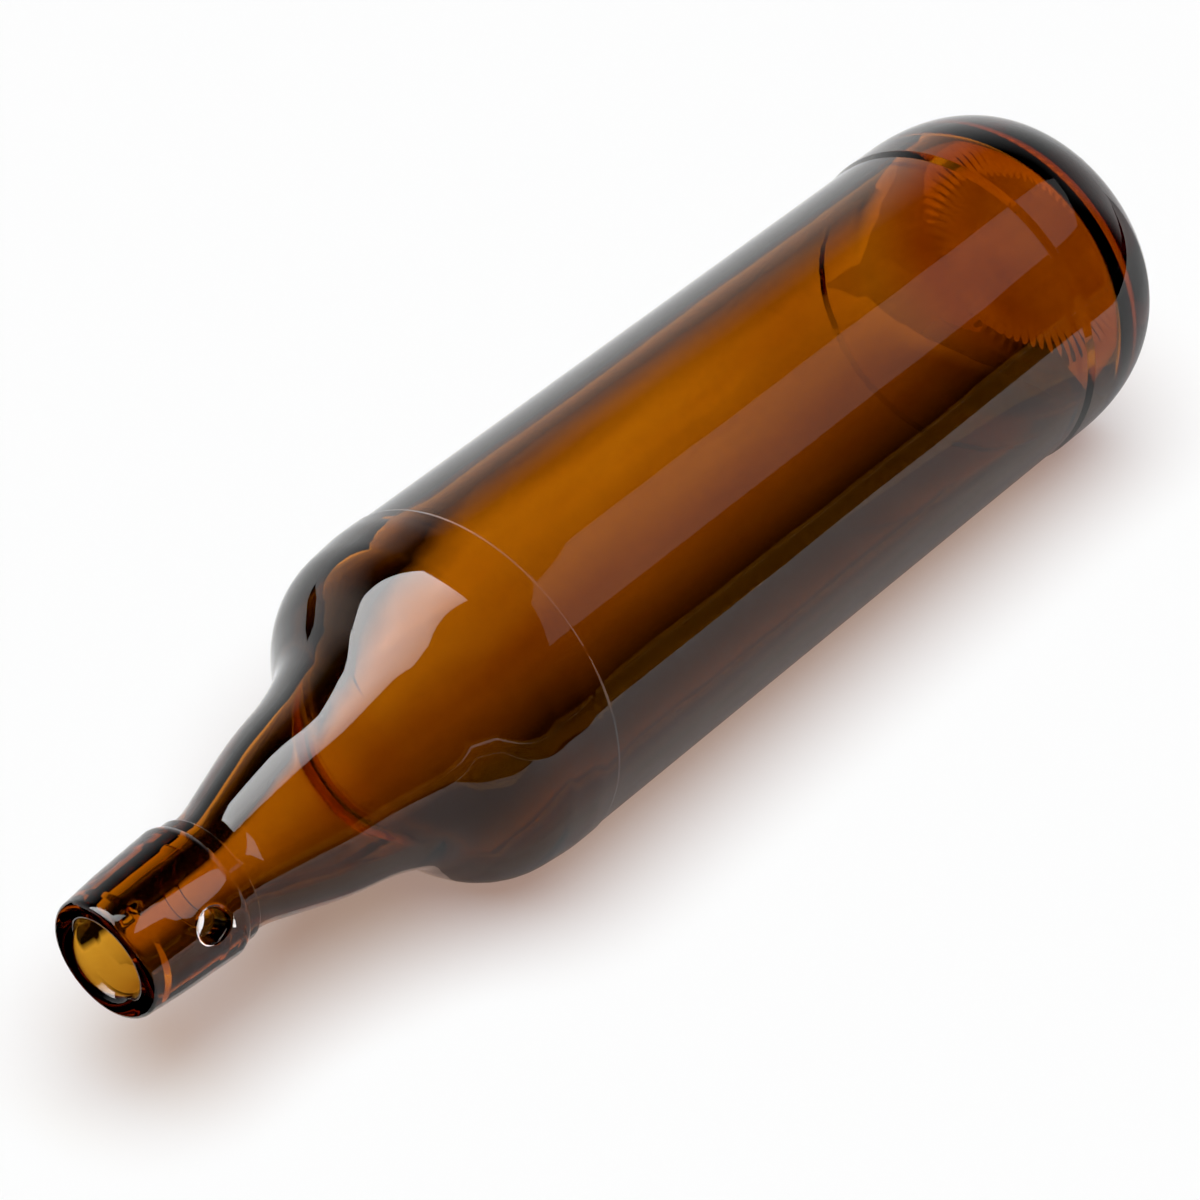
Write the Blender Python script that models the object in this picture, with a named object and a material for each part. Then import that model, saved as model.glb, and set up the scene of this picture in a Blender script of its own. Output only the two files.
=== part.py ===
"""Swing top beer bottle of amber glass, lying on its side.

One turned glass body with a real wall: a rounded lip and bore, a conical
collar with two blind dimples for a bail wire, a swelling neck, a domed
shoulder, a slightly sunk label panel, a thick rounded heel and a pushed-up
base with a knurled bearing ring.

Metres, +Z up. The bottle's axis lies along X with the mouth at -X and the
base at +X. The origin is under the middle of the bottle, on the surface
that it lies on.
"""
import math

import bmesh
import bpy
from mathutils import Matrix, Vector

MM = 0.001

# Overall size
LENGTH = 298.0 * MM
PANEL_RADIUS = 38.5 * MM
SEGMENTS = 60

# Lip and bore
LIP_RADIUS = 12.9 * MM
LIP_OUTER_ROUND = 1.7 * MM
LIP_INNER_ROUND = 2.8 * MM
ENTRY_RADIUS = 8.25 * MM
ENTRY_DEPTH = 6.0 * MM
BORE_RADIUS = 8.6 * MM
BORE_START = 7.2 * MM
BORE_END = 33.0 * MM

# Collar, measured down from the lip
CROWN_AT = 9.6 * MM
CROWN_RADIUS = 13.8 * MM
CROWN_ROUND = 40.0 * MM
COLLAR_EDGE_AT = 24.3 * MM
COLLAR_RADIUS = 14.65 * MM
COLLAR_ROUND = 3.0 * MM
COLLAR_END = 25.5 * MM
COLLAR_END_RADIUS = 14.15 * MM
COLLAR_END_ROUND = 0.4 * MM
BEAD_RADIUS = 13.7 * MM
BEAD_END = 28.9 * MM
BEAD_ROUND = 0.7 * MM

# Neck and shoulder, measured down from the lip
NECK_RADIUS = 12.95 * MM
FLARE_AT = 33.1 * MM
FLARE_ROUND = 20.0 * MM
SWELL_AT = 52.2 * MM
SWELL_RADIUS = 19.15 * MM
SWELL_ROUND = 80.0 * MM
WAIST_AT = 65.5 * MM
WAIST_RADIUS = 21.75 * MM
WAIST_ROUND = 50.0 * MM
FOOT_AT = 74.7 * MM
FOOT_RADIUS = 25.6 * MM
FOOT_ROUND = 16.0 * MM
DOME_AT = 85.3 * MM
DOME_RADIUS = 37.35 * MM
DOME_ROUND = 18.0 * MM
SHOULDER_AT = 98.5 * MM
SHOULDER_RADIUS = 38.8 * MM
SHOULDER_ROUND = 30.0 * MM

# Label panel and heel, measured down from the lip
PANEL_START = 104.0 * MM
PANEL_STEP = 0.7 * MM
PANEL_END = 263.7 * MM
HEEL_STEP = 2.2 * MM
HEEL_RADIUS = 39.0 * MM
HEEL_CURVE_LENGTH = 23.1 * MM
HEEL_STEPS = 7

# Bearing ring and push-up
BEARING_RADIUS = 27.5 * MM
BEARING_WIDTH = 1.6 * MM
PUSH_UP_DEPTH = 4.0 * MM
PUSH_UP_STEPS = 5
KNURL_DEPTH = 0.25 * MM

# Inner wall
NECK_WALL = 4.2 * MM
SHOULDER_WALL = 3.7 * MM
BODY_WALL = 3.5 * MM
FLOOR_AT = 291.5 * MM
FLOOR_ROUND = 13.0 * MM
BASE_WALL = 9.0 * MM

# Dimples in the collar, one on each side
DIMPLE_AT = 17.1 * MM
DIMPLE_COLLAR_RADIUS = 14.2 * MM
DIMPLE_DEPTH = 3.8 * MM
DIMPLE_FLOOR_RADIUS = 2.9 * MM
DIMPLE_WALL_RADIUS = 3.35 * MM
DIMPLE_RIM_RADIUS = 4.5 * MM
DIMPLE_RIM_ROUND = 1.2 * MM
DIMPLE_RIM_TURN = math.radians(60.0)
DIMPLE_RIM_STEPS = 3
DIMPLE_FLOOR_ROUND = 0.4 * MM
DIMPLE_CLEARANCE = 3.0 * MM
DIMPLE_SEGMENTS = 24
DIMPLE_ANGLE = math.radians(69.0)

# The bottle rests on a shallow flat along its lowest line
FLAT_DEPTH = 0.3 * MM
AXIS_HEIGHT = HEEL_RADIUS - FLAT_DEPTH

GLASS_COLOUR = (0.30, 0.115, 0.012, 1.0)
GLASS_ROUGHNESS = 0.03
SHARP_ANGLE = math.radians(35.0)
MERGE_DISTANCE = 0.00001


def clear_scene():
    """Remove every object that a new file starts with."""
    for item in list(bpy.data.objects):
        bpy.data.objects.remove(item, do_unlink=True)


def glass_material():
    """Clear amber glass."""
    material = bpy.data.materials.new("amber_glass")
    material.use_nodes = True
    shader = material.node_tree.nodes["Principled BSDF"]
    shader.inputs["Base Color"].default_value = GLASS_COLOUR
    shader.inputs["Roughness"].default_value = GLASS_ROUGHNESS
    shader.inputs["Metallic"].default_value = 0.0
    shader.inputs["Transmission Weight"].default_value = 1.0
    return material


def arc_corner(before, corner, after, radius, steps):
    """Points of the arc that rounds one corner of an outline."""
    into = (corner - before).normalized()
    away = (after - corner).normalized()
    turn = into.angle_signed(away)
    reach = radius * math.tan(abs(turn) / 2)
    start = corner - into * reach
    side = math.copysign(1.0, turn)
    normal = Vector((into.y, -into.x)) * side
    centre = start + normal * radius
    points = []
    for step in range(steps + 1):
        angle = -turn * step / steps
        spoke = Matrix.Rotation(angle, 2) @ (-normal * radius)
        points.append(centre + spoke)
    return points


def rounded_outline(corners):
    """Outline through (station, radius, round, steps) corners, with arcs where a round is given."""
    places = [Vector(corner[:2]) for corner in corners]
    outline = [places[0]]
    for index in range(1, len(corners) - 1):
        round_radius, steps = corners[index][2:]
        if round_radius:
            outline += arc_corner(
                places[index - 1], places[index], places[index + 1], round_radius, steps
            )
        else:
            outline.append(places[index])
    outline.append(places[-1])
    return outline


def outer_outline():
    """From the lip's crest down the outside to the start of the heel's curve."""
    crest = ENTRY_RADIUS + LIP_INNER_ROUND
    heel_curve_start = LENGTH - HEEL_CURVE_LENGTH
    return rounded_outline([
        (0.0, crest, 0, 0),
        (0.0, LIP_RADIUS, LIP_OUTER_ROUND, 3),
        (CROWN_AT, CROWN_RADIUS, CROWN_ROUND, 1),
        (COLLAR_EDGE_AT, COLLAR_RADIUS, COLLAR_ROUND, 2),
        (COLLAR_END, COLLAR_END_RADIUS, COLLAR_END_ROUND, 1),
        (COLLAR_END, BEAD_RADIUS, 0, 0),
        (BEAD_END, BEAD_RADIUS, BEAD_ROUND, 2),
        (BEAD_END, NECK_RADIUS, 0, 0),
        (FLARE_AT, NECK_RADIUS, FLARE_ROUND, 2),
        (SWELL_AT, SWELL_RADIUS, SWELL_ROUND, 2),
        (WAIST_AT, WAIST_RADIUS, WAIST_ROUND, 2),
        (FOOT_AT, FOOT_RADIUS, FOOT_ROUND, 2),
        (DOME_AT, DOME_RADIUS, DOME_ROUND, 6),
        (SHOULDER_AT, SHOULDER_RADIUS, SHOULDER_ROUND, 1),
        (PANEL_START, SHOULDER_RADIUS, 0, 0),
        (PANEL_START + PANEL_STEP, PANEL_RADIUS, 0, 0),
        (PANEL_END, PANEL_RADIUS, 0, 0),
        (PANEL_END + HEEL_STEP, HEEL_RADIUS, 0, 0),
        (heel_curve_start, HEEL_RADIUS, 0, 0),
    ])


def heel_curve():
    """Quarter of an ellipse from the heel's side round to the bearing ring."""
    start = LENGTH - HEEL_CURVE_LENGTH
    height = HEEL_RADIUS - BEARING_RADIUS
    points = []
    for step in range(1, HEEL_STEPS + 1):
        angle = math.pi / 2 * step / HEEL_STEPS
        station = start + HEEL_CURVE_LENGTH * math.sin(angle)
        radius = BEARING_RADIUS + height * math.cos(angle)
        points.append(Vector((station, radius)))
    return points


def push_up():
    """Under the base: from the bearing ring's inner edge up a shallow swell to the axis."""
    foot = BEARING_RADIUS - BEARING_WIDTH
    points = []
    for step in range(PUSH_UP_STEPS + 1):
        share = step / PUSH_UP_STEPS
        lift = PUSH_UP_DEPTH * (1 - math.cos(math.pi * share)) / 2
        points.append(Vector((LENGTH - lift, foot * (1 - share))))
    return points


def inner_outline():
    """From the axis on the inner floor up the inside to the lip's crest."""
    floor_middle = LENGTH - PUSH_UP_DEPTH - BASE_WALL
    body = PANEL_RADIUS - BODY_WALL
    crest = ENTRY_RADIUS + LIP_INNER_ROUND
    return rounded_outline([
        (floor_middle, 0.0, 0, 0),
        (FLOOR_AT, body, FLOOR_ROUND, 4),
        (PANEL_START, body, 0, 0),
        (DOME_AT + SHOULDER_WALL / 2, DOME_RADIUS - SHOULDER_WALL, DOME_ROUND - SHOULDER_WALL, 3),
        (FOOT_AT + SHOULDER_WALL / 2, FOOT_RADIUS - SHOULDER_WALL, FOOT_ROUND, 2),
        (WAIST_AT, WAIST_RADIUS - SHOULDER_WALL, WAIST_ROUND, 1),
        (SWELL_AT, SWELL_RADIUS - NECK_WALL, SWELL_ROUND, 1),
        (BORE_END, BORE_RADIUS, FLARE_ROUND, 2),
        (BORE_START, BORE_RADIUS, 0, 0),
        (ENTRY_DEPTH, ENTRY_RADIUS, 0, 0),
        (0.0, ENTRY_RADIUS, LIP_INNER_ROUND, 3),
        (0.0, crest, 0, 0),
    ])


def turn_outline(outline):
    """Spin a closed outline round the Z axis, stations running down -Z, into one shell."""
    mesh = bmesh.new()
    verts = [mesh.verts.new((point.y, 0.0, -point.x)) for point in outline]
    edges = [mesh.edges.new(pair) for pair in zip(verts[:-1], verts[1:])]
    bmesh.ops.spin(
        mesh,
        geom=verts + edges,
        cent=(0.0, 0.0, 0.0),
        axis=(0.0, 0.0, 1.0),
        angle=2 * math.pi,
        steps=SEGMENTS,
        use_merge=True,
    )
    bmesh.ops.remove_doubles(mesh, verts=mesh.verts, dist=MERGE_DISTANCE)
    bmesh.ops.recalc_face_normals(mesh, faces=mesh.faces)
    return mesh


def cut_knurling(mesh):
    """Sink every second point of the bearing ring, so that it stands on a row of bumps."""
    for vert in mesh.verts:
        if vert.co.z > -LENGTH + MERGE_DISTANCE:
            continue
        turn = math.atan2(vert.co.y, vert.co.x) / (2 * math.pi)
        if round(turn * SEGMENTS) % 2:
            vert.co.z += KNURL_DEPTH


def object_from(mesh, name):
    """Link the mesh to the scene as an object."""
    data = bpy.data.meshes.new(name)
    mesh.to_mesh(data)
    mesh.free()
    item = bpy.data.objects.new(name, data)
    bpy.context.scene.collection.objects.link(item)
    return item


def make_bottle():
    """The turned glass body, laid down along X on its lowest line."""
    outline = outer_outline() + heel_curve() + push_up() + inner_outline()
    mesh = turn_outline(outline)
    cut_knurling(mesh)
    lay_down = Matrix.Rotation(math.radians(-90.0), 4, "Y")
    middle = Matrix.Translation((-LENGTH / 2, 0.0, AXIS_HEIGHT))
    bmesh.ops.transform(mesh, matrix=middle @ lay_down, verts=mesh.verts)
    return object_from(mesh, "bottle")


def dimple_outline():
    """Half section of a dimple: flat floor, drafted wall and a rim that opens outwards."""
    outline = [
        Vector((0.0, -DIMPLE_DEPTH)),
        Vector((DIMPLE_FLOOR_RADIUS - DIMPLE_FLOOR_ROUND, -DIMPLE_DEPTH)),
        Vector((DIMPLE_FLOOR_RADIUS, -DIMPLE_DEPTH + DIMPLE_FLOOR_ROUND)),
    ]
    width = (DIMPLE_RIM_RADIUS - DIMPLE_WALL_RADIUS) / (1 - math.cos(DIMPLE_RIM_TURN))
    rise = DIMPLE_RIM_ROUND / math.sin(DIMPLE_RIM_TURN)
    for step in range(DIMPLE_RIM_STEPS + 1):
        angle = DIMPLE_RIM_TURN * step / DIMPLE_RIM_STEPS
        radius = DIMPLE_WALL_RADIUS + width * (1 - math.cos(angle))
        outline.append(Vector((radius, rise * math.sin(angle) - DIMPLE_RIM_ROUND)))
    outline.append(Vector((DIMPLE_RIM_RADIUS + DIMPLE_CLEARANCE, DIMPLE_CLEARANCE)))
    outline.append(Vector((0.0, DIMPLE_CLEARANCE)))
    return outline


def make_dimple_cutter(name, angle):
    """A turned pin whose opening rim follows the collar's curve, set at an angle from upright."""
    mesh = bmesh.new()
    verts = [mesh.verts.new((point.x, 0.0, point.y)) for point in dimple_outline()]
    edges = [mesh.edges.new(pair) for pair in zip(verts[:-1], verts[1:])]
    bmesh.ops.spin(
        mesh,
        geom=verts + edges,
        cent=(0.0, 0.0, 0.0),
        axis=(0.0, 0.0, 1.0),
        angle=2 * math.pi,
        steps=DIMPLE_SEGMENTS,
        use_merge=True,
    )
    bmesh.ops.remove_doubles(mesh, verts=mesh.verts, dist=MERGE_DISTANCE)
    for vert in mesh.verts:
        follow = min(max(1 + vert.co.z / DIMPLE_RIM_ROUND, 0.0), 1.0)
        vert.co.z -= follow * vert.co.y ** 2 / (2 * DIMPLE_COLLAR_RADIUS)
    bmesh.ops.recalc_face_normals(mesh, faces=mesh.faces)
    cutter = object_from(mesh, name)
    cutter.hide_render = True
    cutter.display_type = "WIRE"
    outwards = Vector((0.0, -math.sin(angle), math.cos(angle)))
    axis_point = Vector((DIMPLE_AT - LENGTH / 2, 0.0, AXIS_HEIGHT))
    cutter.location = axis_point + outwards * DIMPLE_COLLAR_RADIUS
    cutter.rotation_euler = (angle, 0.0, 0.0)
    return cutter


def make_floor_cutter():
    """A block under the resting plane, which leaves the shallow flats."""
    mesh = bmesh.new()
    bmesh.ops.create_cube(mesh, size=1.0)
    size = Vector((2 * LENGTH, 4 * HEEL_RADIUS, HEEL_RADIUS))
    bmesh.ops.scale(mesh, vec=size, verts=mesh.verts)
    cutter = object_from(mesh, "flat_cutter")
    cutter.hide_render = True
    cutter.display_type = "WIRE"
    cutter.location = (0.0, 0.0, -HEEL_RADIUS / 2)
    return cutter


def cut(item, cutter):
    """Take the cutter's shape out of the object."""
    modifier = item.modifiers.new(cutter.name, "BOOLEAN")
    modifier.operation = "DIFFERENCE"
    modifier.solver = "EXACT"
    modifier.object = cutter


def main():
    clear_scene()
    bottle = make_bottle()
    bottle.data.materials.append(glass_material())
    bottle.data.shade_smooth()
    bottle.data.set_sharp_from_angle(angle=SHARP_ANGLE)
    cut(bottle, make_dimple_cutter("dimple_cutter_near", DIMPLE_ANGLE))
    cut(bottle, make_dimple_cutter("dimple_cutter_far", DIMPLE_ANGLE + math.pi))
    cut(bottle, make_floor_cutter())


main()
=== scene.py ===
"""Finished look of an amber swing top beer bottle, lying on its side on a pale studio floor.

The glass is turned by a node tree from one outline, with the same named sizes as
the solid it stands for. The bottle's axis lies along X, mouth at -X, in metres.
"""
import math

import bmesh
import bpy
from bpy.props import FloatProperty, FloatVectorProperty, IntProperty, PointerProperty
from mathutils import Matrix, Vector


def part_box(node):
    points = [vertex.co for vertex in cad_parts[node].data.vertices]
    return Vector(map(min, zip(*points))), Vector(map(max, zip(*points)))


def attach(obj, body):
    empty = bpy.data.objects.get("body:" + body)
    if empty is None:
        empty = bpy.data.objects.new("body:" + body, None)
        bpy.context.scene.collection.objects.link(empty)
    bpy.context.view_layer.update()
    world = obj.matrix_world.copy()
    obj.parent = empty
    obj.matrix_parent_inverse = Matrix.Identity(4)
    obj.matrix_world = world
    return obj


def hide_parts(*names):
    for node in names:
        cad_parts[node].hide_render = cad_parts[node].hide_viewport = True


bl_info = {
    "name": "Swing Top Bottle",
    "version": (1, 0, 0),
    "blender": (4, 5, 0),
    "location": "View3D > Sidebar > Bottle",
    "description": "Turns an amber swing top bottle and lights it on a pale floor",
    "category": "Object",
}

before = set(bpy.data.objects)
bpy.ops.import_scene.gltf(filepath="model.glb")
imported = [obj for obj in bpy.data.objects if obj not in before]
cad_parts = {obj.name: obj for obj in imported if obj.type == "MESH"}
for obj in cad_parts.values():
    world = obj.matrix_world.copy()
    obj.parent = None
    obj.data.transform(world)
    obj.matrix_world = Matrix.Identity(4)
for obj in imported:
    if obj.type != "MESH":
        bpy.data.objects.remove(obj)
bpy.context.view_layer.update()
BOTTLE_LOW, BOTTLE_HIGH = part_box("bottle")

MM = 0.001
NODE = "bottle"
BODY = "root"

# Sizes measured down from the lip
LIP_OUTER_ROUND = 1.7 * MM
LIP_INNER_ROUND = 2.8 * MM
ENTRY_RADIUS = 8.25 * MM
ENTRY_DEPTH = 6.0 * MM
BORE_START = 7.2 * MM
BORE_END = 33.0 * MM
BORE_STEP_ROUND = 1.5 * MM
CROWN_AT = 9.6 * MM
CROWN_RADIUS = 13.8 * MM
CROWN_ROUND = 40.0 * MM
COLLAR_EDGE_AT = 24.3 * MM
COLLAR_ROUND = 3.0 * MM
COLLAR_END = 25.5 * MM
COLLAR_END_RADIUS = 14.15 * MM
COLLAR_END_ROUND = 0.4 * MM
COLLAR_FOOT_ROUND = 0.12 * MM
BEAD_RADIUS = 13.7 * MM
BEAD_END = 28.9 * MM
BEAD_ROUND = 0.55 * MM
BEAD_FOOT_ROUND = 0.15 * MM
FLARE_AT = 33.1 * MM
FLARE_ROUND = 20.0 * MM
SWELL_AT = 52.2 * MM
SWELL_RADIUS = 19.15 * MM
SWELL_ROUND = 80.0 * MM
WAIST_AT = 65.5 * MM
WAIST_RADIUS = 21.75 * MM
WAIST_ROUND = 50.0 * MM
FOOT_AT = 74.7 * MM
FOOT_RADIUS = 25.6 * MM
FOOT_ROUND = 16.0 * MM
DOME_AT = 85.3 * MM
DOME_RADIUS = 37.35 * MM
DOME_ROUND = 18.0 * MM
SHOULDER_AT = 98.5 * MM
SHOULDER_ROUND = 30.0 * MM
PANEL_START = 104.0 * MM
PANEL_STEP = 0.7 * MM
PANEL_END = 263.7 * MM
HEEL_STEP = 2.2 * MM
STEP_ROUND = 0.9 * MM
HEEL_CURVE_LENGTH = 23.1 * MM
HEEL_CURVE_STEPS = 18
BEARING_RADIUS = 27.5 * MM
BEARING_WIDTH = 1.6 * MM
PUSH_UP_STEPS = 12
FLOOR_AT = 291.5 * MM
FLOOR_ROUND = 13.0 * MM
BASE_WALL = 9.0 * MM

# Between two points of the outline: the most that an arc turns, the longest step of an
# arc and of a straight stretch, and the longest step on the collar
ARC_STEP = math.radians(8.0)
ARC_REACH = 2.5 * MM
STRAIGHT_REACH = 7.0 * MM
COLLAR_REACH = 2.0 * MM
# Points closer than this become one
MERGE_DISTANCE = 0.004 * MM

# A dimple's section, measured from its centre and from the collar's surface
DIMPLE_AT = 17.1 * MM
DIMPLE_COLLAR_RADIUS = 14.2 * MM
DIMPLE_FLOOR_RADIUS = 2.9 * MM
DIMPLE_WALL_RADIUS = 3.35 * MM
DIMPLE_RIM_RADIUS = 4.5 * MM
DIMPLE_RIM_DEPTH = 1.2 * MM
DIMPLE_FLOOR_ROUND = 0.4 * MM
DIMPLE_WINDOW = 6.2 * MM
DIMPLE_RIM_STEPS = 8
DIMPLE_WALL_STEPS = 3
DIMPLE_FLOOR_ROUND_STEPS = 4
DIMPLE_BLEND_STEPS = 5
# Rings on the dimple's floor, as shares of its radius
DIMPLE_FLOOR_RINGS = (0.6, 0.3)
# The window for a dimple takes only faces that stand this many bore radii off the axis
OUTER_WALL_FROM = 1.15

# The flat that the bottle rests on, along its lowest line
FLAT_DEPTH = 0.3 * MM

# Knurling of the bearing ring: the stretch of the axis that it takes, and its soft start
KNURL_REACH = 0.7 * MM
KNURL_FADE = 0.6 * MM

# The inner wall's waves follow a noise: how fast it runs for each metre along the axis,
# and the radius of the circle that it takes round the bottle. The waves fade out towards
# the axis, by this rate for each metre, and the points round the lip stay even.
WAVES_ALONG = 9.0
WAVES_ROUND = 1.6
WAVE_FADE = 60.0
EVEN_LIP_POINTS = 12

# Scales of the patterns in the glass, along the axis and twice across it
STREAK_SCALE = (14.0, 60.0, 60.0)
RIPPLE_SCALE = (30.0, 110.0, 110.0)
HAZE_SCALE = 90.0
# The wall's tint is multiplied by these in dark and in pale streaks
DARK_STREAK = (0.82, 0.75, 0.65)
PALE_STREAK = (1.1, 1.15, 1.25)
STREAK_RANGE = (0.3, 0.7)
HAZE_ROUGHNESS = 0.03
RIPPLE_STRENGTH = 0.1
RIPPLE_HEIGHT = 0.4 * MM
# Tint of the light that reaches the floor through the glass, at each of its faces
SHADOW_TINT = (0.76, 0.71, 0.61, 1.0)

FLOOR_HEIGHT = -0.2 * MM
# Height of the black sheets of painted shade
SHADE_HEIGHT = 0.5 * MM
MATT_ROUGHNESS = 0.9
# Sheets of the stage, as rows of points of equal number from the near side to the far side
FLOOR = (
    ((-6.0, -6.0), (6.0, -6.0)),
    ((-6.0, 6.0), (6.0, 6.0)),
)
# Black sheets that the camera doesn't see and that cast no shadow: painted shade that only
# the glass mirrors, as painted dark reflections. This one is mirrored low in the near side
# of the glass, and the next in the lip.
NEAR_SHADE = (
    ((-1.5, -5.0), (5.0, -5.0)),
    ((-1.5, -0.27), (5.0, -0.27)),
    ((-1.5, -0.269), (5.0, -0.269)),
    ((-1.5, -0.09), (5.0, -0.09)),
    ((-1.5, -0.01), (5.0, -0.01)),
)
NEAR_SHADE_SHARES = (1.0, 1.0, 0.15, 0.45, 0.6)
MOUTH_SHADE = (
    ((-3.0, -0.26), (-0.155, -0.26)),
    ((-3.0, 3.0), (-0.155, 3.0)),
)
# Painted shade, seen only through the glass: it darkens the far edge and starts softly
FAR_SHADE = (
    (
        (-4.0, 0.036), (-0.08, 0.038), (-0.04, 0.046), (-0.01, 0.056),
        (0.02, 0.064), (0.05, 0.066), (0.205, 0.066),
    ),
    (
        (-4.0, 0.041), (-0.08, 0.043), (-0.04, 0.052), (-0.01, 0.066),
        (0.02, 0.083), (0.05, 0.097), (0.21, 0.097),
    ),
    (
        (-4.0, 4.0), (-0.08, 4.0), (-0.04, 4.0), (-0.01, 4.0),
        (0.02, 4.0), (0.05, 4.0), (4.0, 4.0),
    ),
)
FAR_SHADE_SHARES = (0.0, 1.0, 1.0)
# Painted contact shadow, seen only through the glass: the floor darkened along the line where the
# bottle touches it
CONTACT_SHADE = (
    ((-0.12, 0.032), (-0.08, 0.028), (-0.026, 0.030), (0.165, 0.030)),
    ((-0.12, 0.026), (-0.08, 0.022), (-0.026, 0.023), (0.165, 0.024)),
    ((-0.12, 0.022), (-0.08, 0.018), (-0.026, 0.017), (0.165, 0.018)),
    ((-0.12, 0.019), (-0.08, 0.014), (-0.026, 0.011), (0.165, 0.012)),
    ((-0.12, 0.014), (-0.08, 0.008), (-0.026, 0.005), (0.165, 0.006)),
    ((-0.12, -0.2), (-0.08, -0.2), (-0.026, -0.2), (0.165, -0.2)),
)
CONTACT_SHADE_HEIGHT = -0.1 * MM
CONTACT_SHADE_SHARES = (0.0, 0.12, 0.4, 0.68, 0.93, 0.93)
# Painted shade, seen only through the glass: the floor behind the base darkened
BASE_SHADE = (
    ((0.15, -1.0), (2.0, -1.0)),
    ((0.15, 0.065), (2.0, 0.065)),
)
BASE_SHADE_SHARES = (0.35, 0.35)
# The lit sheet that the glass mirrors along its upper side
SOFTBOX = (
    ((-1.5, 0.12), (0.17, -0.04)),
    ((-1.5, 0.75), (0.17, 0.25)),
    ((-1.5, 1.9), (0.2, 0.52)),
)
SOFTBOX_HEIGHT = 1.0
SOFTBOX_SHARES = (0.3, 0.8, 1.0)
# Bright cards that the glass mirrors: name, middle, direction that it faces, size, brightness
CARDS = (
    ("side_card", (1.035, -0.64, 1.0), (0.0, 0.0, -1.0), (0.77, 1.02), 0.45),
    ("collar_card", (-0.100, -0.062, 0.130), (-1.0, 0.0, 0.0), (0.05, 0.095), 1.7),
    ("dimple_card", (-0.1255, -0.0208, 0.0403), (-1.0, 0.0, 0.0), (0.0056, 0.0038), 16.0),
)
OVERHEAD_ANGLE = math.radians(57.0)
OVERHEAD_TILT = (math.radians(9.0), math.radians(-8.0), 0.0)
# The paper behind the bottle: the side that it stands on, how softly it starts and its top
BACKDROP_SIDE = (0.42, 0.91, 0.0)
BACKDROP_START = 0.3
BACKDROP_TOP = 0.6
CAMERA_PLACE = (-0.5393, -0.4449, 0.6174)
CAMERA_AIM = (0.5891, 0.4897, -0.6430)
SENSOR_WIDTH = 36.0
# How many faces of the glass light may meet on its way
BOUNCES = 12


class BottleShape(bpy.types.PropertyGroup):
    """Sizes of the glass."""

    length: FloatProperty(
        name="Length", description="From the lip to the bearing ring",
        default=BOTTLE_HIGH.x - BOTTLE_LOW.x, unit="LENGTH",
    )
    lip_radius: FloatProperty(
        name="Lip radius", description="Outside radius of the lip",
        default=12.9 * MM, unit="LENGTH",
    )
    bore_radius: FloatProperty(
        name="Bore radius", description="Inside radius of the mouth",
        default=8.6 * MM, unit="LENGTH",
    )
    collar_radius: FloatProperty(
        name="Collar radius", description="Outside radius at the collar's lower edge",
        default=14.65 * MM, unit="LENGTH",
    )
    neck_radius: FloatProperty(
        name="Neck radius", description="Outside radius under the collar",
        default=12.95 * MM, unit="LENGTH",
    )
    shoulder_radius: FloatProperty(
        name="Shoulder radius", description="Outside radius above the label panel",
        default=38.8 * MM, unit="LENGTH",
    )
    panel_radius: FloatProperty(
        name="Panel radius", description="Outside radius of the sunk label panel",
        default=38.5 * MM, unit="LENGTH",
    )
    heel_radius: FloatProperty(
        name="Heel radius", description="Outside radius of the heel",
        default=39.0 * MM, unit="LENGTH",
    )
    neck_wall: FloatProperty(
        name="Neck wall", description="Thickness of the glass in the neck",
        default=4.2 * MM, unit="LENGTH",
    )
    shoulder_wall: FloatProperty(
        name="Shoulder wall", description="Thickness of the glass in the shoulder",
        default=3.7 * MM, unit="LENGTH",
    )
    body_wall: FloatProperty(
        name="Body wall", description="Thickness of the glass round the panel",
        default=3.5 * MM, unit="LENGTH",
    )
    push_up: FloatProperty(
        name="Push-up", description="Depth of the hollow under the base",
        default=4.0 * MM, unit="LENGTH",
    )
    dimple_depth: FloatProperty(
        name="Dimple depth", description="Depth of the wire's dimples in the collar",
        default=3.8 * MM, unit="LENGTH",
    )
    dimple_angle: FloatProperty(
        name="Dimple angle", description="Turn of the near dimple from upright",
        default=math.radians(69.0), unit="ROTATION",
    )
    segments: IntProperty(
        name="Segments", description="Faces round the glass", default=320, min=24,
    )
    knurl_count: IntProperty(
        name="Knurl count", description="Bumps round the bearing ring", default=64, min=3,
    )
    knurl_depth: FloatProperty(
        name="Knurl depth", description="Depth between two bumps of the bearing ring",
        default=0.25 * MM, unit="LENGTH",
    )
    wave_height: FloatProperty(
        name="Wave height", description="Unevenness of the blown inner wall",
        default=0.25 * MM, unit="LENGTH",
    )
    wave_seed: FloatProperty(
        name="Wave seed", description="Picks one pattern of unevenness", default=4.0,
    )


class BottleGlass(bpy.types.PropertyGroup):
    """Colour and finish of the glass."""

    tint: FloatVectorProperty(
        name="Depth tint", description="Colour that the glass takes with depth",
        subtype="COLOR", size=3, default=(0.893, 0.68, 0.0), min=0.0, max=1.0,
    )
    density: FloatProperty(
        name="Density", description="Strength of the depth tint in each metre of glass",
        default=375.0,
    )
    wall_tint: FloatVectorProperty(
        name="Wall tint", description="Colour of light that has passed one wall",
        subtype="COLOR", size=3, default=(0.83, 0.6, 0.17), min=0.0, max=1.0,
    )
    refraction: FloatProperty(
        name="Refraction", description="Index of refraction of bottle glass", default=1.52,
    )


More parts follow.
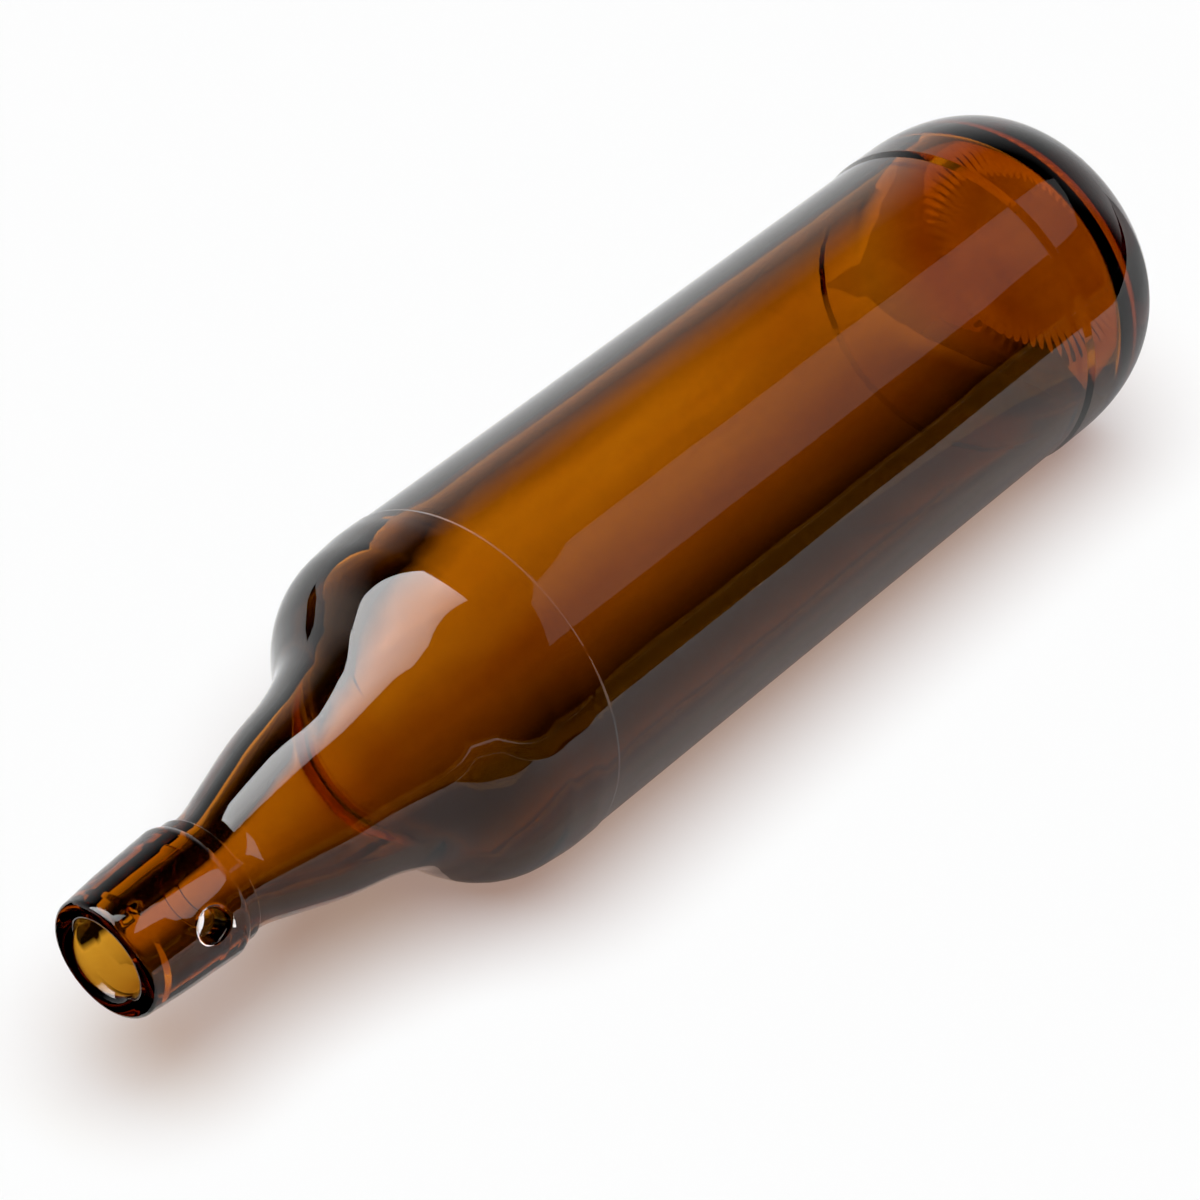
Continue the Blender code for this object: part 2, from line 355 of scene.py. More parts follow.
class BottleStage(bpy.types.PropertyGroup):
    """Floor, light and camera."""

    floor_colour: FloatVectorProperty(
        name="Floor", description="Colour of the studio floor",
        subtype="COLOR", size=3, default=(0.93, 0.93, 0.93), min=0.0, max=1.0,
    )
    backdrop: FloatProperty(
        name="Backdrop", description="Brightness of the pale paper round the stage", default=0.98,
    )
    overhead: FloatProperty(
        name="Overhead light", description="Strength of the wide light above the stage",
        default=3.18,
    )
    softbox: FloatProperty(
        name="Softbox", description="Brightness of the softbox that the glass mirrors",
        default=9.0,
    )
    ambient: FloatProperty(
        name="Ambient", description="Brightness of the light from all round", default=0.07,
    )
    lens: FloatProperty(
        name="Lens", description="Focal length of the camera",
        default=132.456 * MM, unit="LENGTH",
    )


def axis_height():
    """Height of the bottle's axis over the surface that it lies on."""
    return bpy.context.scene.bottle_shape.heel_radius - FLAT_DEPTH


def arc_corner(before, corner, after, radius):
    """Points of the arc that rounds one corner of an outline, close enough to look smooth."""
    into = (corner - before).normalized()
    away = (after - corner).normalized()
    turn = into.angle_signed(away)
    reach = radius * math.tan(abs(turn) / 2)
    steps = max(2, math.ceil(abs(turn) / ARC_STEP), math.ceil(abs(turn) * radius / ARC_REACH))
    side = math.copysign(1.0, turn)
    normal = Vector((into.y, -into.x)) * side
    centre = corner - into * reach + normal * radius
    return [
        centre + Matrix.Rotation(-turn * step / steps, 2) @ (-normal * radius)
        for step in range(steps + 1)
    ]


def rounded_outline(corners):
    """Outline through (station, radius, round) corners, with arcs where a round is given."""
    places = [Vector(corner[:2]) for corner in corners]
    outline = [places[0]]
    for index in range(1, len(corners) - 1):
        if corners[index][2]:
            outline += arc_corner(*places[index - 1:index + 2], corners[index][2])
        else:
            outline.append(places[index])
    outline.append(places[-1])
    return outline


def outer_outline(shape):
    """From the lip's crest down the outside to the start of the heel's curve."""
    return rounded_outline([
        (0.0, ENTRY_RADIUS + LIP_INNER_ROUND, 0),
        (0.0, shape.lip_radius, LIP_OUTER_ROUND),
        (CROWN_AT, CROWN_RADIUS, CROWN_ROUND),
        (COLLAR_EDGE_AT, shape.collar_radius, COLLAR_ROUND),
        (COLLAR_END, COLLAR_END_RADIUS, COLLAR_END_ROUND),
        (COLLAR_END, BEAD_RADIUS, COLLAR_FOOT_ROUND),
        (BEAD_END, BEAD_RADIUS, BEAD_ROUND),
        (BEAD_END, shape.neck_radius, BEAD_FOOT_ROUND),
        (FLARE_AT, shape.neck_radius, FLARE_ROUND),
        (SWELL_AT, SWELL_RADIUS, SWELL_ROUND),
        (WAIST_AT, WAIST_RADIUS, WAIST_ROUND),
        (FOOT_AT, FOOT_RADIUS, FOOT_ROUND),
        (DOME_AT, DOME_RADIUS, DOME_ROUND),
        (SHOULDER_AT, shape.shoulder_radius, SHOULDER_ROUND),
        (PANEL_START, shape.shoulder_radius, STEP_ROUND),
        (PANEL_START + PANEL_STEP, shape.panel_radius, STEP_ROUND),
        (PANEL_END, shape.panel_radius, STEP_ROUND),
        (PANEL_END + HEEL_STEP, shape.heel_radius, STEP_ROUND),
        (shape.length - HEEL_CURVE_LENGTH, shape.heel_radius, 0),
    ])


def heel_outline(shape):
    """Round the heel, over the bearing ring and up the push-up to the axis."""
    start = shape.length - HEEL_CURVE_LENGTH
    height = shape.heel_radius - BEARING_RADIUS
    points = []
    for step in range(1, HEEL_CURVE_STEPS):
        angle = math.pi / 2 * step / HEEL_CURVE_STEPS
        points.append(Vector((
            start + HEEL_CURVE_LENGTH * math.sin(angle),
            BEARING_RADIUS + height * math.cos(angle),
        )))
    points.append(Vector((shape.length, BEARING_RADIUS)))
    foot = BEARING_RADIUS - BEARING_WIDTH
    for step in range(PUSH_UP_STEPS + 1):
        share = step / PUSH_UP_STEPS
        lift = shape.push_up * (1 - math.cos(math.pi * share)) / 2
        points.append(Vector((shape.length - lift, foot * (1 - share))))
    return points


def inner_outline(shape):
    """From the axis on the inner floor up the inside to the lip's crest."""
    body = shape.panel_radius - shape.body_wall
    wall = shape.shoulder_wall
    return rounded_outline([
        (shape.length - shape.push_up - BASE_WALL, 0.0, 0),
        (FLOOR_AT, body, FLOOR_ROUND),
        (PANEL_START, body, 0),
        (DOME_AT + wall / 2, DOME_RADIUS - wall, DOME_ROUND - wall),
        (FOOT_AT + wall / 2, FOOT_RADIUS - wall, FOOT_ROUND),
        (WAIST_AT, WAIST_RADIUS - wall, WAIST_ROUND),
        (SWELL_AT, SWELL_RADIUS - shape.neck_wall, SWELL_ROUND),
        (BORE_END, shape.bore_radius, FLARE_ROUND),
        (BORE_START, shape.bore_radius, BORE_STEP_ROUND),
        (ENTRY_DEPTH, ENTRY_RADIUS, BORE_STEP_ROUND),
        (0.0, ENTRY_RADIUS, LIP_INNER_ROUND),
        (0.0, ENTRY_RADIUS + LIP_INNER_ROUND, 0),
    ])


def filled_in(outline):
    """Add points to long straight stretches, more closely along the collar."""
    points = [outline[0]]
    for before, after in zip(outline[:-1], outline[1:]):
        gap = (after - before).length
        if gap < MERGE_DISTANCE:
            continue
        on_collar = max(before.x, after.x) < COLLAR_END
        steps = math.ceil(gap / (COLLAR_REACH if on_collar else STRAIGHT_REACH))
        points += [before.lerp(after, step / steps) for step in range(1, steps + 1)]
    return points


def node(tree, kind, values=(), **settings):
    """Add one node with its settings. Values fill its inputs, by a link or by a number."""
    made = tree.nodes.new(kind)
    for name, value in settings.items():
        setattr(made, name, value)
    for key, value in dict(values).items():
        socket = made.inputs[key]
        if isinstance(value, bpy.types.NodeSocket):
            tree.links.new(value, socket)
        else:
            socket.default_value = value
    return made


def calc(tree, operation, *operands):
    """One step of arithmetic; gives the socket with its result."""
    return node(tree, "ShaderNodeMath", enumerate(operands), operation=operation).outputs[0]


def tree_inputs(tree, inputs):
    """Give the tree its geometry sockets and its named inputs."""
    tree.interface.new_socket("Outline", in_out="INPUT", socket_type="NodeSocketGeometry")
    for name, kind in inputs:
        tree.interface.new_socket(name, in_out="INPUT", socket_type=kind)
    tree.interface.new_socket("Glass", in_out="OUTPUT", socket_type="NodeSocketGeometry")


def turning_tree():
    """Node tree that turns an outline of (station, 0, radius) points round the bottle's axis.

    The bearing ring's knurling follows its count, the blown inner wall is uneven and
    the lowest line is pressed flat on the resting plane.
    """
    tree = bpy.data.node_groups.new("Turned glass", "GeometryNodeTree")
    tree_inputs(tree, [
        ("Segments", "NodeSocketInt"),
        ("Axis Height", "NodeSocketFloat"),
        ("Knurl Count", "NodeSocketInt"),
        ("Knurl Depth", "NodeSocketFloat"),
        ("Knurl Start", "NodeSocketFloat"),
        ("Wave Height", "NodeSocketFloat"),
        ("Wave Seed", "NodeSocketFloat"),
        ("Merge Distance", "NodeSocketFloat"),
        ("Material", "NodeSocketMaterial"),
    ])
    given = node(tree, "NodeGroupInput").outputs
    count = node(tree, "GeometryNodeAttributeDomainSize", {"Geometry": given["Outline"]})
    points = count.outputs["Point Count"]
    grid = node(tree, "GeometryNodeMeshGrid", {
        "Size X": 1.0, "Size Y": 1.0, "Vertices X": points,
        "Vertices Y": calc(tree, "ADD", given["Segments"], 1),
    })
    place = node(tree, "GeometryNodeInputPosition").outputs[0]
    along = node(tree, "ShaderNodeSeparateXYZ", {0: place})
    step = calc(tree, "ROUND", calc(
        tree, "MULTIPLY", calc(tree, "ADD", along.outputs["X"], 0.5),
        calc(tree, "SUBTRACT", points, 1),
    ))
    angle = calc(tree, "MULTIPLY", calc(tree, "ADD", along.outputs["Y"], 0.5), math.tau)

    def sampled(kind, value):
        return node(
            tree, "GeometryNodeSampleIndex",
            {"Geometry": given["Outline"], "Value": value, "Index": step},
            data_type=kind, domain="POINT",
        ).outputs[0]

    section = node(tree, "ShaderNodeSeparateXYZ", {0: sampled("FLOAT_VECTOR", place)})
    station, radius = section.outputs["X"], section.outputs["Z"]
    inner_flag = node(
        tree, "GeometryNodeInputNamedAttribute", {"Name": "inner"}, data_type="FLOAT",
    ).outputs[0]
    inner = sampled("FLOAT", inner_flag)
    sine, cosine = calc(tree, "SINE", angle), calc(tree, "COSINE", angle)
    # Knurling: a cosine round the ring, fading in over the last stations
    fade = node(tree, "ShaderNodeMapRange", {
        "Value": station, "From Min": given["Knurl Start"],
        "From Max": calc(tree, "ADD", given["Knurl Start"], KNURL_FADE),
    }, interpolation_type="SMOOTHSTEP").outputs[0]
    bump = calc(tree, "MULTIPLY_ADD", calc(
        tree, "COSINE", calc(tree, "MULTIPLY", angle, given["Knurl Count"]),
    ), -0.5, 0.5)
    sink = calc(tree, "MULTIPLY", calc(tree, "MULTIPLY", fade, bump), given["Knurl Depth"])
    # The blown inner wall: long waves along the axis, shorter ones round it
    spot = node(tree, "ShaderNodeCombineXYZ", {
        "X": calc(tree, "MULTIPLY", station, WAVES_ALONG),
        "Y": calc(tree, "MULTIPLY", sine, WAVES_ROUND),
        "Z": calc(tree, "MULTIPLY", cosine, WAVES_ROUND),
    })
    noise = node(tree, "ShaderNodeTexNoise", {
        "Vector": spot.outputs[0], "W": given["Wave Seed"], "Scale": 1.0,
        "Detail": 2.0, "Roughness": 0.45,
    }, noise_dimensions="4D").outputs[0]
    wave = calc(tree, "MULTIPLY", calc(tree, "SUBTRACT", noise, 0.5), given["Wave Height"])
    swing = calc(tree, "MINIMUM", 1.0, calc(tree, "MULTIPLY", radius, WAVE_FADE))
    wall = calc(tree, "MULTIPLY_ADD", calc(tree, "MULTIPLY", wave, inner), swing, radius)
    across = calc(tree, "MULTIPLY", wall, sine)
    above = calc(tree, "MAXIMUM", 0.0, calc(
        tree, "MULTIPLY_ADD", wall, cosine, given["Axis Height"],
    ))
    put = node(tree, "GeometryNodeSetPosition", {
        "Geometry": grid.outputs["Mesh"],
        "Position": node(tree, "ShaderNodeCombineXYZ", {
            "X": calc(tree, "SUBTRACT", station, sink), "Y": across, "Z": above,
        }).outputs[0],
    })
    merged = node(tree, "GeometryNodeMergeByDistance", {
        "Geometry": put.outputs[0], "Distance": given["Merge Distance"],
    })
    # The stretch of the outline that runs along the axis leaves an edge with no face
    faces = node(tree, "GeometryNodeInputMeshEdgeNeighbors").outputs[0]
    closed = node(tree, "GeometryNodeDeleteGeometry", {
        "Geometry": merged.outputs[0], "Selection": calc(tree, "LESS_THAN", faces, 1),
    }, domain="EDGE", mode="EDGE_FACE")
    real = node(tree, "GeometryNodeRealizeInstances", {"Geometry": closed.outputs[0]})
    painted = node(tree, "GeometryNodeSetMaterial", {
        "Geometry": real.outputs[0], "Material": given["Material"],
    })
    result = node(tree, "NodeGroupOutput")
    tree.links.new(painted.outputs[0], result.inputs[0])
    return tree


def set_inputs(modifier, values):
    """Set a node modifier's inputs by the identifiers of their sockets."""
    for socket in modifier.node_group.interface.items_tree:
        if socket.item_type == "SOCKET" and socket.in_out == "INPUT" and socket.name in values:
            modifier[socket.identifier] = values[socket.name]


def make_plain(item):
    """Turn the modifiers' result into the object's own plain mesh."""
    depsgraph = bpy.context.evaluated_depsgraph_get()
    mesh = bpy.data.meshes.new_from_object(
        item.evaluated_get(depsgraph), preserve_all_data_layers=True, depsgraph=depsgraph,
    )
    mesh.name = item.name
    item.modifiers.clear()
    item.data = mesh


def outline_object(shape):
    """The closed outline as a chain of points, each one marked outer or inner."""
    outer = filled_in(outer_outline(shape) + heel_outline(shape))
    inner = filled_in(inner_outline(shape))
    marks = [0.0] * len(outer) + [1.0] * len(inner)
    marks[-EVEN_LIP_POINTS:] = [0.0] * EVEN_LIP_POINTS
    chain = outer + inner
    mesh = bpy.data.meshes.new("bottle_outline")
    places = [(point.x - shape.length / 2, 0.0, point.y) for point in chain]
    mesh.from_pydata(places, [(n, n + 1) for n in range(len(chain) - 1)], [])
    mark = mesh.attributes.new("inner", "FLOAT", "POINT")
    mark.data.foreach_set("value", marks)
    item = bpy.data.objects.new("bottle_glass", mesh)
    bpy.context.scene.collection.objects.link(item)
    return item


def collar_height(shape, x, sideways):
    """Height of the collar's surface over the axis, at a place beside a dimple's centre line."""
    share = (x + shape.length / 2 - CROWN_AT) / (COLLAR_EDGE_AT - CROWN_AT)
    radius = CROWN_RADIUS + (shape.collar_radius - CROWN_RADIUS) * share
    return math.sqrt(radius ** 2 - sideways ** 2)


def dimple_rings(shape):
    """A dimple's section from its rim to its floor.

    Each ring has its radius, its height over the axis and the share that it takes of the
    collar's curve.
    """
    rings = []
    floor = DIMPLE_COLLAR_RADIUS - shape.dimple_depth
    width = DIMPLE_RIM_RADIUS - DIMPLE_WALL_RADIUS
    for step in range(1, DIMPLE_RIM_STEPS + 1):
        angle = math.pi / 2 * (1 - step / DIMPLE_RIM_STEPS)
        radius = DIMPLE_WALL_RADIUS + width * (1 - math.cos(angle))
        height = DIMPLE_COLLAR_RADIUS - DIMPLE_RIM_DEPTH * (1 - math.sin(angle))
        rings.append((radius, height, math.sin(angle)))
    top = DIMPLE_COLLAR_RADIUS - DIMPLE_RIM_DEPTH
    low = floor + DIMPLE_FLOOR_ROUND
    for step in range(1, DIMPLE_WALL_STEPS + 1):
        share = step / DIMPLE_WALL_STEPS
        radius = DIMPLE_WALL_RADIUS + (DIMPLE_FLOOR_RADIUS - DIMPLE_WALL_RADIUS) * share
        rings.append((radius, top + (low - top) * share, 0.0))
    for step in range(1, DIMPLE_FLOOR_ROUND_STEPS + 1):
        angle = math.pi / 2 * step / DIMPLE_FLOOR_ROUND_STEPS
        radius = DIMPLE_FLOOR_RADIUS - DIMPLE_FLOOR_ROUND * (1 - math.cos(angle))
        rings.append((radius, low - DIMPLE_FLOOR_ROUND * math.sin(angle), 0.0))
    rings += [(DIMPLE_FLOOR_RADIUS * share, floor, 0.0) for share in DIMPLE_FLOOR_RINGS]
    return rings


def press_dimple(mesh, shape, angle):
    """Replace a window of the collar's faces by rings that run down into a round dimple."""
    outwards = Vector((0.0, -math.sin(angle), math.cos(angle)))
    across = Vector((0.0, math.cos(angle), math.sin(angle)))
    centre = Vector((DIMPLE_AT - shape.length / 2, 0.0, axis_height()))

    def flat_place(point):
        offset = point - centre
        return Vector((offset.x, offset.dot(across)))

    def in_window(vert):
        place = flat_place(vert.co)
        outside = (vert.co - centre).dot(outwards) > shape.bore_radius * OUTER_WALL_FROM
        return outside and abs(place.x) < DIMPLE_WINDOW and abs(place.y) < DIMPLE_WINDOW

    inside = [face for face in mesh.faces if all(in_window(vert) for vert in face.verts)]
    taken = set(inside)
    edges = {edge for face in inside for edge in face.edges}
    border = [edge for edge in edges if sum(face in taken for face in edge.link_faces) == 1]
    ring = list({vert for edge in border for vert in edge.verts})
    ring.sort(key=lambda vert: math.atan2(flat_place(vert.co).y, flat_place(vert.co).x))
    spokes = [flat_place(vert.co) for vert in ring]
    bmesh.ops.delete(mesh, geom=inside, context="FACES")
    rings = []
    for step in range(1, DIMPLE_BLEND_STEPS + 1):
        share = step / DIMPLE_BLEND_STEPS
        rings.append([
            spoke.lerp(spoke.normalized() * DIMPLE_RIM_RADIUS, share) for spoke in spokes
        ])
    loops = [
        [(place, collar_height(shape, centre.x + place.x, place.y)) for place in places]
        for places in rings
    ]
    for radius, height, follow in dimple_rings(shape):
        loop = []
        for spoke in spokes:
            place = spoke.normalized() * radius
            surface = collar_height(shape, centre.x + place.x, place.y)
            lift = (surface - DIMPLE_COLLAR_RADIUS) * follow
            loop.append((place, height + lift))
        loops.append(loop)
    for loop in loops:
        verts = []
        for place, height in loop:
            point = centre + Vector((place.x, 0.0, 0.0)) + across * place.y + outwards * height
            verts.append(mesh.verts.new(point))
        for index in range(len(ring)):
            after = (index + 1) % len(ring)
            mesh.faces.new((ring[index], ring[after], verts[after], verts[index]))
        ring = verts
    floor = mesh.verts.new(centre + outwards * (DIMPLE_COLLAR_RADIUS - shape.dimple_depth))
    for index in range(len(ring)):
        mesh.faces.new((ring[index], ring[(index + 1) % len(ring)], floor))


def glass_material(glass):
    """Amber bottle glass, tinted by each wall that light passes and by its depth."""
    material = bpy.data.materials.new("amber_bottle_glass")
    material.use_nodes = True
    tree = material.node_tree
    tree.nodes.clear()
    where = node(tree, "ShaderNodeTexCoord").outputs["Object"]
    stretched = node(tree, "ShaderNodeMapping", {"Vector": where, "Scale": STREAK_SCALE})
    streaks = node(tree, "ShaderNodeTexNoise", {
        "Vector": stretched.outputs[0], "Scale": 1.0, "Detail": 3.0, "Roughness": 0.5,
    })
    shade = node(tree, "ShaderNodeValToRGB", {"Fac": streaks.outputs[0]})
    stops = zip(shade.color_ramp.elements, STREAK_RANGE, (DARK_STREAK, PALE_STREAK))
    for element, position, streak in stops:
        element.position = position
        element.color = (*[share * tone for share, tone in zip(glass.wall_tint, streak)], 1.0)
    haze = node(tree, "ShaderNodeTexNoise", {
        "Vector": where, "Scale": HAZE_SCALE, "Detail": 4.0, "Roughness": 0.6,
    })
    rough = node(tree, "ShaderNodeMapRange", {
        "Value": haze.outputs[0], "To Min": 0.0, "To Max": HAZE_ROUGHNESS,
    })
    drawn = node(tree, "ShaderNodeMapping", {"Vector": where, "Scale": RIPPLE_SCALE})
    ripple = node(tree, "ShaderNodeTexNoise", {
        "Vector": drawn.outputs[0], "Scale": 1.0, "Detail": 2.0, "Roughness": 0.4,
    })
    bump = node(tree, "ShaderNodeBump", {
        "Height": ripple.outputs[0], "Strength": RIPPLE_STRENGTH, "Distance": RIPPLE_HEIGHT,
    })
    surface = node(tree, "ShaderNodeBsdfPrincipled", {
        "Base Color": shade.outputs[0], "Roughness": rough.outputs[0],
        "Normal": bump.outputs[0], "IOR": glass.refraction, "Transmission Weight": 1.0,
    })
    passed = node(tree, "ShaderNodeBsdfTransparent", {"Color": SHADOW_TINT})
    mixed = node(tree, "ShaderNodeMixShader", {
        0: node(tree, "ShaderNodeLightPath").outputs["Is Shadow Ray"],
        1: surface.outputs[0], 2: passed.outputs[0],
    })
    depth = node(tree, "ShaderNodeVolumeAbsorption", {
        "Color": (*glass.tint, 1.0), "Density": glass.density,
    })
    node(tree, "ShaderNodeOutputMaterial", {
        "Surface": mixed.outputs[0], "Volume": depth.outputs[0],
    })
    return material


class BOTTLE_OT_glass(bpy.types.Operator):
    """Turn the glass from its outline, press its two dimples and replace the solid by it"""

    bl_idname = "bottle.glass"
    bl_label = "Glass"

    def execute(self, context):
        shape = context.scene.bottle_shape
        item = outline_object(shape)
        modifier = item.modifiers.new("Turned glass", "NODES")
        modifier.node_group = turning_tree()
        material = glass_material(context.scene.bottle_glass)
        set_inputs(modifier, {
            "Segments": shape.segments,
            "Axis Height": axis_height(),
            "Knurl Count": shape.knurl_count,
            "Knurl Depth": shape.knurl_depth,
            "Knurl Start": shape.length / 2 - KNURL_REACH,
            "Wave Height": shape.wave_height,
            "Wave Seed": shape.wave_seed,
            "Merge Distance": MERGE_DISTANCE,
            "Material": material,
        })
        make_plain(item)
        mesh = bmesh.new()
        mesh.from_mesh(item.data)
        press_dimple(mesh, shape, shape.dimple_angle)
        press_dimple(mesh, shape, shape.dimple_angle + math.pi)
        bmesh.ops.recalc_face_normals(mesh, faces=mesh.faces)
        for face in mesh.faces:
            face.material_index = 0
        mesh.to_mesh(item.data)
        mesh.free()
        item.data.materials.clear()
        item.data.materials.append(material)
        item.data.shade_smooth()
        item.modifiers.new("Even shading", "WEIGHTED_NORMAL")
        make_plain(item)
        # The floor's light from all round passes the glass, and the light above casts its shadow
        item.visible_diffuse = False
        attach(item, BODY)
        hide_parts(NODE)
        return {"FINISHED"}


class BOTTLE_OT_stage(bpy.types.Operator):
    """Set the floor, the soft light and the camera"""

    bl_idname = "bottle.stage"
    bl_label = "Stage"

    def execute(self, context):
        stage = context.scene.bottle_stage
        scene = context.scene
        floor = add_sheet("floor", FLOOR, FLOOR_HEIGHT)
        floor.data.materials.append(matt_material("studio_floor", stage.floor_colour))
        # Black sheets of painted shade: the first two are painted dark reflections in the glass,
        # the others painted shade seen only through it
        black = matt_material("painted_shade_black", (0.0, 0.0, 0.0))
        mirrored = [
            add_sheet("near_painted_shade", NEAR_SHADE, SHADE_HEIGHT, NEAR_SHADE_SHARES),
            add_sheet("mouth_painted_shade", MOUTH_SHADE, SHADE_HEIGHT),
        ]
        seen_through = [
            add_sheet("far_painted_shade", FAR_SHADE, SHADE_HEIGHT, FAR_SHADE_SHARES),
            add_sheet("contact_painted_shadow", CONTACT_SHADE, CONTACT_SHADE_HEIGHT, CONTACT_SHADE_SHARES),
            add_sheet("base_painted_shade", BASE_SHADE, SHADE_HEIGHT, BASE_SHADE_SHARES),
        ]
        for shade_sheet in mirrored + seen_through:
            shade_sheet.data.materials.append(black)
        softbox = add_sheet("softbox", SOFTBOX, SOFTBOX_HEIGHT, SOFTBOX_SHARES)
        softbox.data.materials.append(glow_material("softbox_cloth", stage.softbox))
        mirrored.append(softbox)
        # The camera doesn't see these sheets and they cast no shadow; the glass mirrors the
        # softbox and the painted shade, or shows the painted shade through it
        for sheet in mirrored + seen_through:
            sheet.visible_camera = False
            sheet.visible_diffuse = False
            sheet.visible_shadow = False
            sheet.visible_transmission = sheet in seen_through
            sheet.visible_glossy = sheet in mirrored
        scene.world = studio_world(stage)
        add_overhead(scene, stage)
        for name, place, facing, size, brightness in CARDS:
            add_card(scene, name, place, facing, size, brightness)
        place_camera(scene, stage)
        scene.view_settings.view_transform = "Standard"
        scene.cycles.caustics_refractive = False
        scene.cycles.caustics_reflective = False
        scene.cycles.max_bounces = BOUNCES
        scene.cycles.transmission_bounces = BOUNCES
        return {"FINISHED"}


def matt_material(name, colour):
    """A matt sheet of one colour, as solid as its mesh says."""
    material = bpy.data.materials.new(name)
    material.use_nodes = True
    tree = material.node_tree
    surface = tree.nodes["Principled BSDF"]
    surface.inputs["Roughness"].default_value = MATT_ROUGHNESS
    surface.inputs["Specular IOR Level"].default_value = 0.0
    surface.inputs["Base Color"].default_value = (*colour, 1.0)
    solid = node(tree, "ShaderNodeAttribute", attribute_name="share")
    tree.links.new(solid.outputs["Fac"], surface.inputs["Alpha"])
    return material


def glow_material(name, brightness):
    """Lit cloth, as bright as its mesh says."""
    material = bpy.data.materials.new(name)
    material.use_nodes = True
    tree = material.node_tree
    tree.nodes.clear()
    share = node(tree, "ShaderNodeAttribute", attribute_name="share")
    light = node(tree, "ShaderNodeEmission", {
        "Strength": calc(tree, "MULTIPLY", share.outputs["Fac"], brightness),
    })
    node(tree, "ShaderNodeOutputMaterial", {"Surface": light.outputs[0]})
    return material


def add_sheet(name, rows, height, shares=None):
    """A flat sheet of the stage between rows of points.

    Each row has its share of solidity or light, which is whole where none is given.
    """
    mesh = bpy.data.meshes.new(name)
    width = len(rows[0])
    faces = []
    for row in range(len(rows) - 1):
        for column in range(width - 1):
            start = row * width + column
            faces.append((start, start + 1, start + width + 1, start + width))
    mesh.from_pydata([(x, y, height) for row in rows for x, y in row], [], faces)
    share = mesh.attributes.new("share", "FLOAT", "POINT")
    shares = shares or [1.0] * len(rows)
    share.data.foreach_set("value", [value for value in shares for _ in range(width)])
    item = bpy.data.objects.new(name, mesh)
    bpy.context.scene.collection.objects.link(item)
    return item


def add_overhead(scene, stage):
    """The wide light above, which lights the floor and casts the soft shadow."""
    light = bpy.data.lights.new("overhead", "SUN")
    light.energy = stage.overhead
    light.angle = OVERHEAD_ANGLE
    item = bpy.data.objects.new("overhead", light)
    scene.collection.objects.link(item)
    item.rotation_euler = OVERHEAD_TILT
    item.visible_glossy = False
    item.visible_transmission = False


def add_card(scene, name, place, facing, size, brightness):
    """A bright rectangle that the glass mirrors and the floor doesn't feel."""
    light = bpy.data.lights.new(name, "AREA")
    light.shape = "RECTANGLE"
    light.size, light.size_y = size
    light.energy = brightness * math.pi * size[0] * size[1]
    item = bpy.data.objects.new(name, light)
    scene.collection.objects.link(item)
    item.location = place
    item.rotation_mode = "QUATERNION"
    item.rotation_quaternion = Vector(facing).to_track_quat("-Z", "Y")
    item.visible_camera = False
    item.visible_diffuse = False
    item.visible_transmission = False


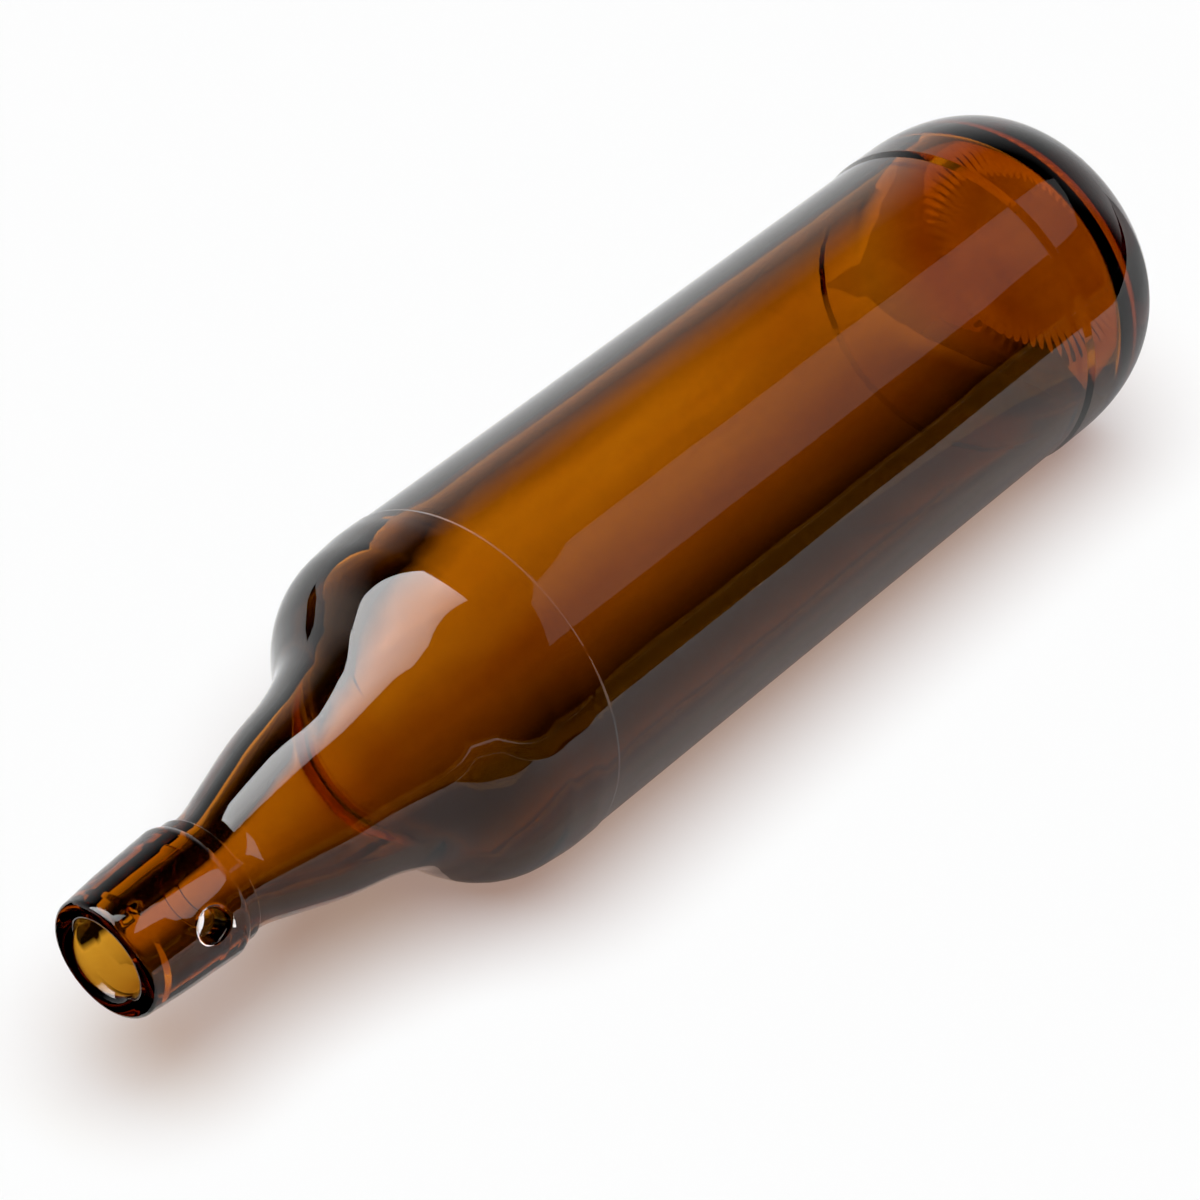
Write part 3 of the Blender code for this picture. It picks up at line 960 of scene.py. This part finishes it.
def studio_world(stage):
    """Surroundings by kind of ray.

    The camera sees pale paper and the floor gets soft light from all round. The glass
    mirrors a dark room, with the paper rising behind the bottle.
    """
    world = bpy.data.worlds.new("studio")
    world.use_nodes = True
    tree = world.node_tree
    tree.nodes.clear()
    towards = node(tree, "ShaderNodeTexCoord").outputs["Generated"]
    side = node(
        tree, "ShaderNodeVectorMath", {0: towards, 1: BACKDROP_SIDE}, operation="DOT_PRODUCT",
    ).outputs["Value"]
    behind = node(tree, "ShaderNodeMapRange", {
        "Value": side, "From Min": 0.0, "From Max": BACKDROP_START,
    }, interpolation_type="SMOOTHSTEP").outputs[0]
    height = node(tree, "ShaderNodeSeparateXYZ", {0: towards}).outputs["Z"]
    low = node(tree, "ShaderNodeMapRange", {
        "Value": height, "From Min": 0.0, "From Max": BACKDROP_TOP, "To Min": 1.0, "To Max": 0.0,
    }).outputs[0]
    paper = calc(tree, "MULTIPLY", calc(tree, "MULTIPLY", behind, low), stage.backdrop)
    ray = node(tree, "ShaderNodeLightPath").outputs
    mirrored = calc(tree, "MAXIMUM", ray["Is Glossy Ray"], ray["Is Transmission Ray"])
    direct = node(tree, "ShaderNodeMix", {
        0: ray["Is Camera Ray"], 2: stage.ambient, 3: stage.backdrop,
    }).outputs[0]
    brightness = node(tree, "ShaderNodeMix", {0: mirrored, 2: direct, 3: paper}).outputs[0]
    light = node(tree, "ShaderNodeBackground", {"Strength": brightness})
    light.inputs["Color"].default_value = (1.0, 1.0, 1.0, 1.0)
    node(tree, "ShaderNodeOutputWorld", {"Surface": light.outputs[0]})
    return world


def place_camera(scene, stage):
    """The camera looks down on the mouth and along the bottle."""
    data = bpy.data.cameras.new("camera")
    data.sensor_width = SENSOR_WIDTH
    data.lens = stage.lens / MM
    camera = bpy.data.objects.new("camera", data)
    scene.collection.objects.link(camera)
    camera.location = CAMERA_PLACE
    camera.rotation_mode = "QUATERNION"
    camera.rotation_quaternion = Vector(CAMERA_AIM).to_track_quat("-Z", "Y")
    scene.camera = camera


class BOTTLE_PT_panel(bpy.types.Panel):
    """Lists the bottle's operators and sizes"""

    bl_idname = "BOTTLE_PT_panel"
    bl_label = "Swing Top Bottle"
    bl_space_type = "VIEW_3D"
    bl_region_type = "UI"
    bl_category = "Bottle"

    def draw(self, context):
        for operator in OPERATORS:
            self.layout.operator(operator.bl_idname)
        for group_name, _ in GROUPS:
            group = getattr(context.scene, group_name)
            box = self.layout.box()
            for name in group.__annotations__:
                box.prop(group, name)


GROUPS = (
    ("bottle_shape", BottleShape),
    ("bottle_glass", BottleGlass),
    ("bottle_stage", BottleStage),
)
OPERATORS = (BOTTLE_OT_glass, BOTTLE_OT_stage)


def register():
    for name, group in GROUPS:
        bpy.utils.register_class(group)
        setattr(bpy.types.Scene, name, PointerProperty(type=group))
    for operator in OPERATORS:
        bpy.utils.register_class(operator)
    bpy.utils.register_class(BOTTLE_PT_panel)


def unregister():
    bpy.utils.unregister_class(BOTTLE_PT_panel)
    for operator in reversed(OPERATORS):
        bpy.utils.unregister_class(operator)
    for name, group in reversed(GROUPS):
        delattr(bpy.types.Scene, name)
        bpy.utils.unregister_class(group)


def main():
    register()
    bpy.ops.bottle.glass()
    bpy.ops.bottle.stage()


if __name__ == "__main__":
    main()
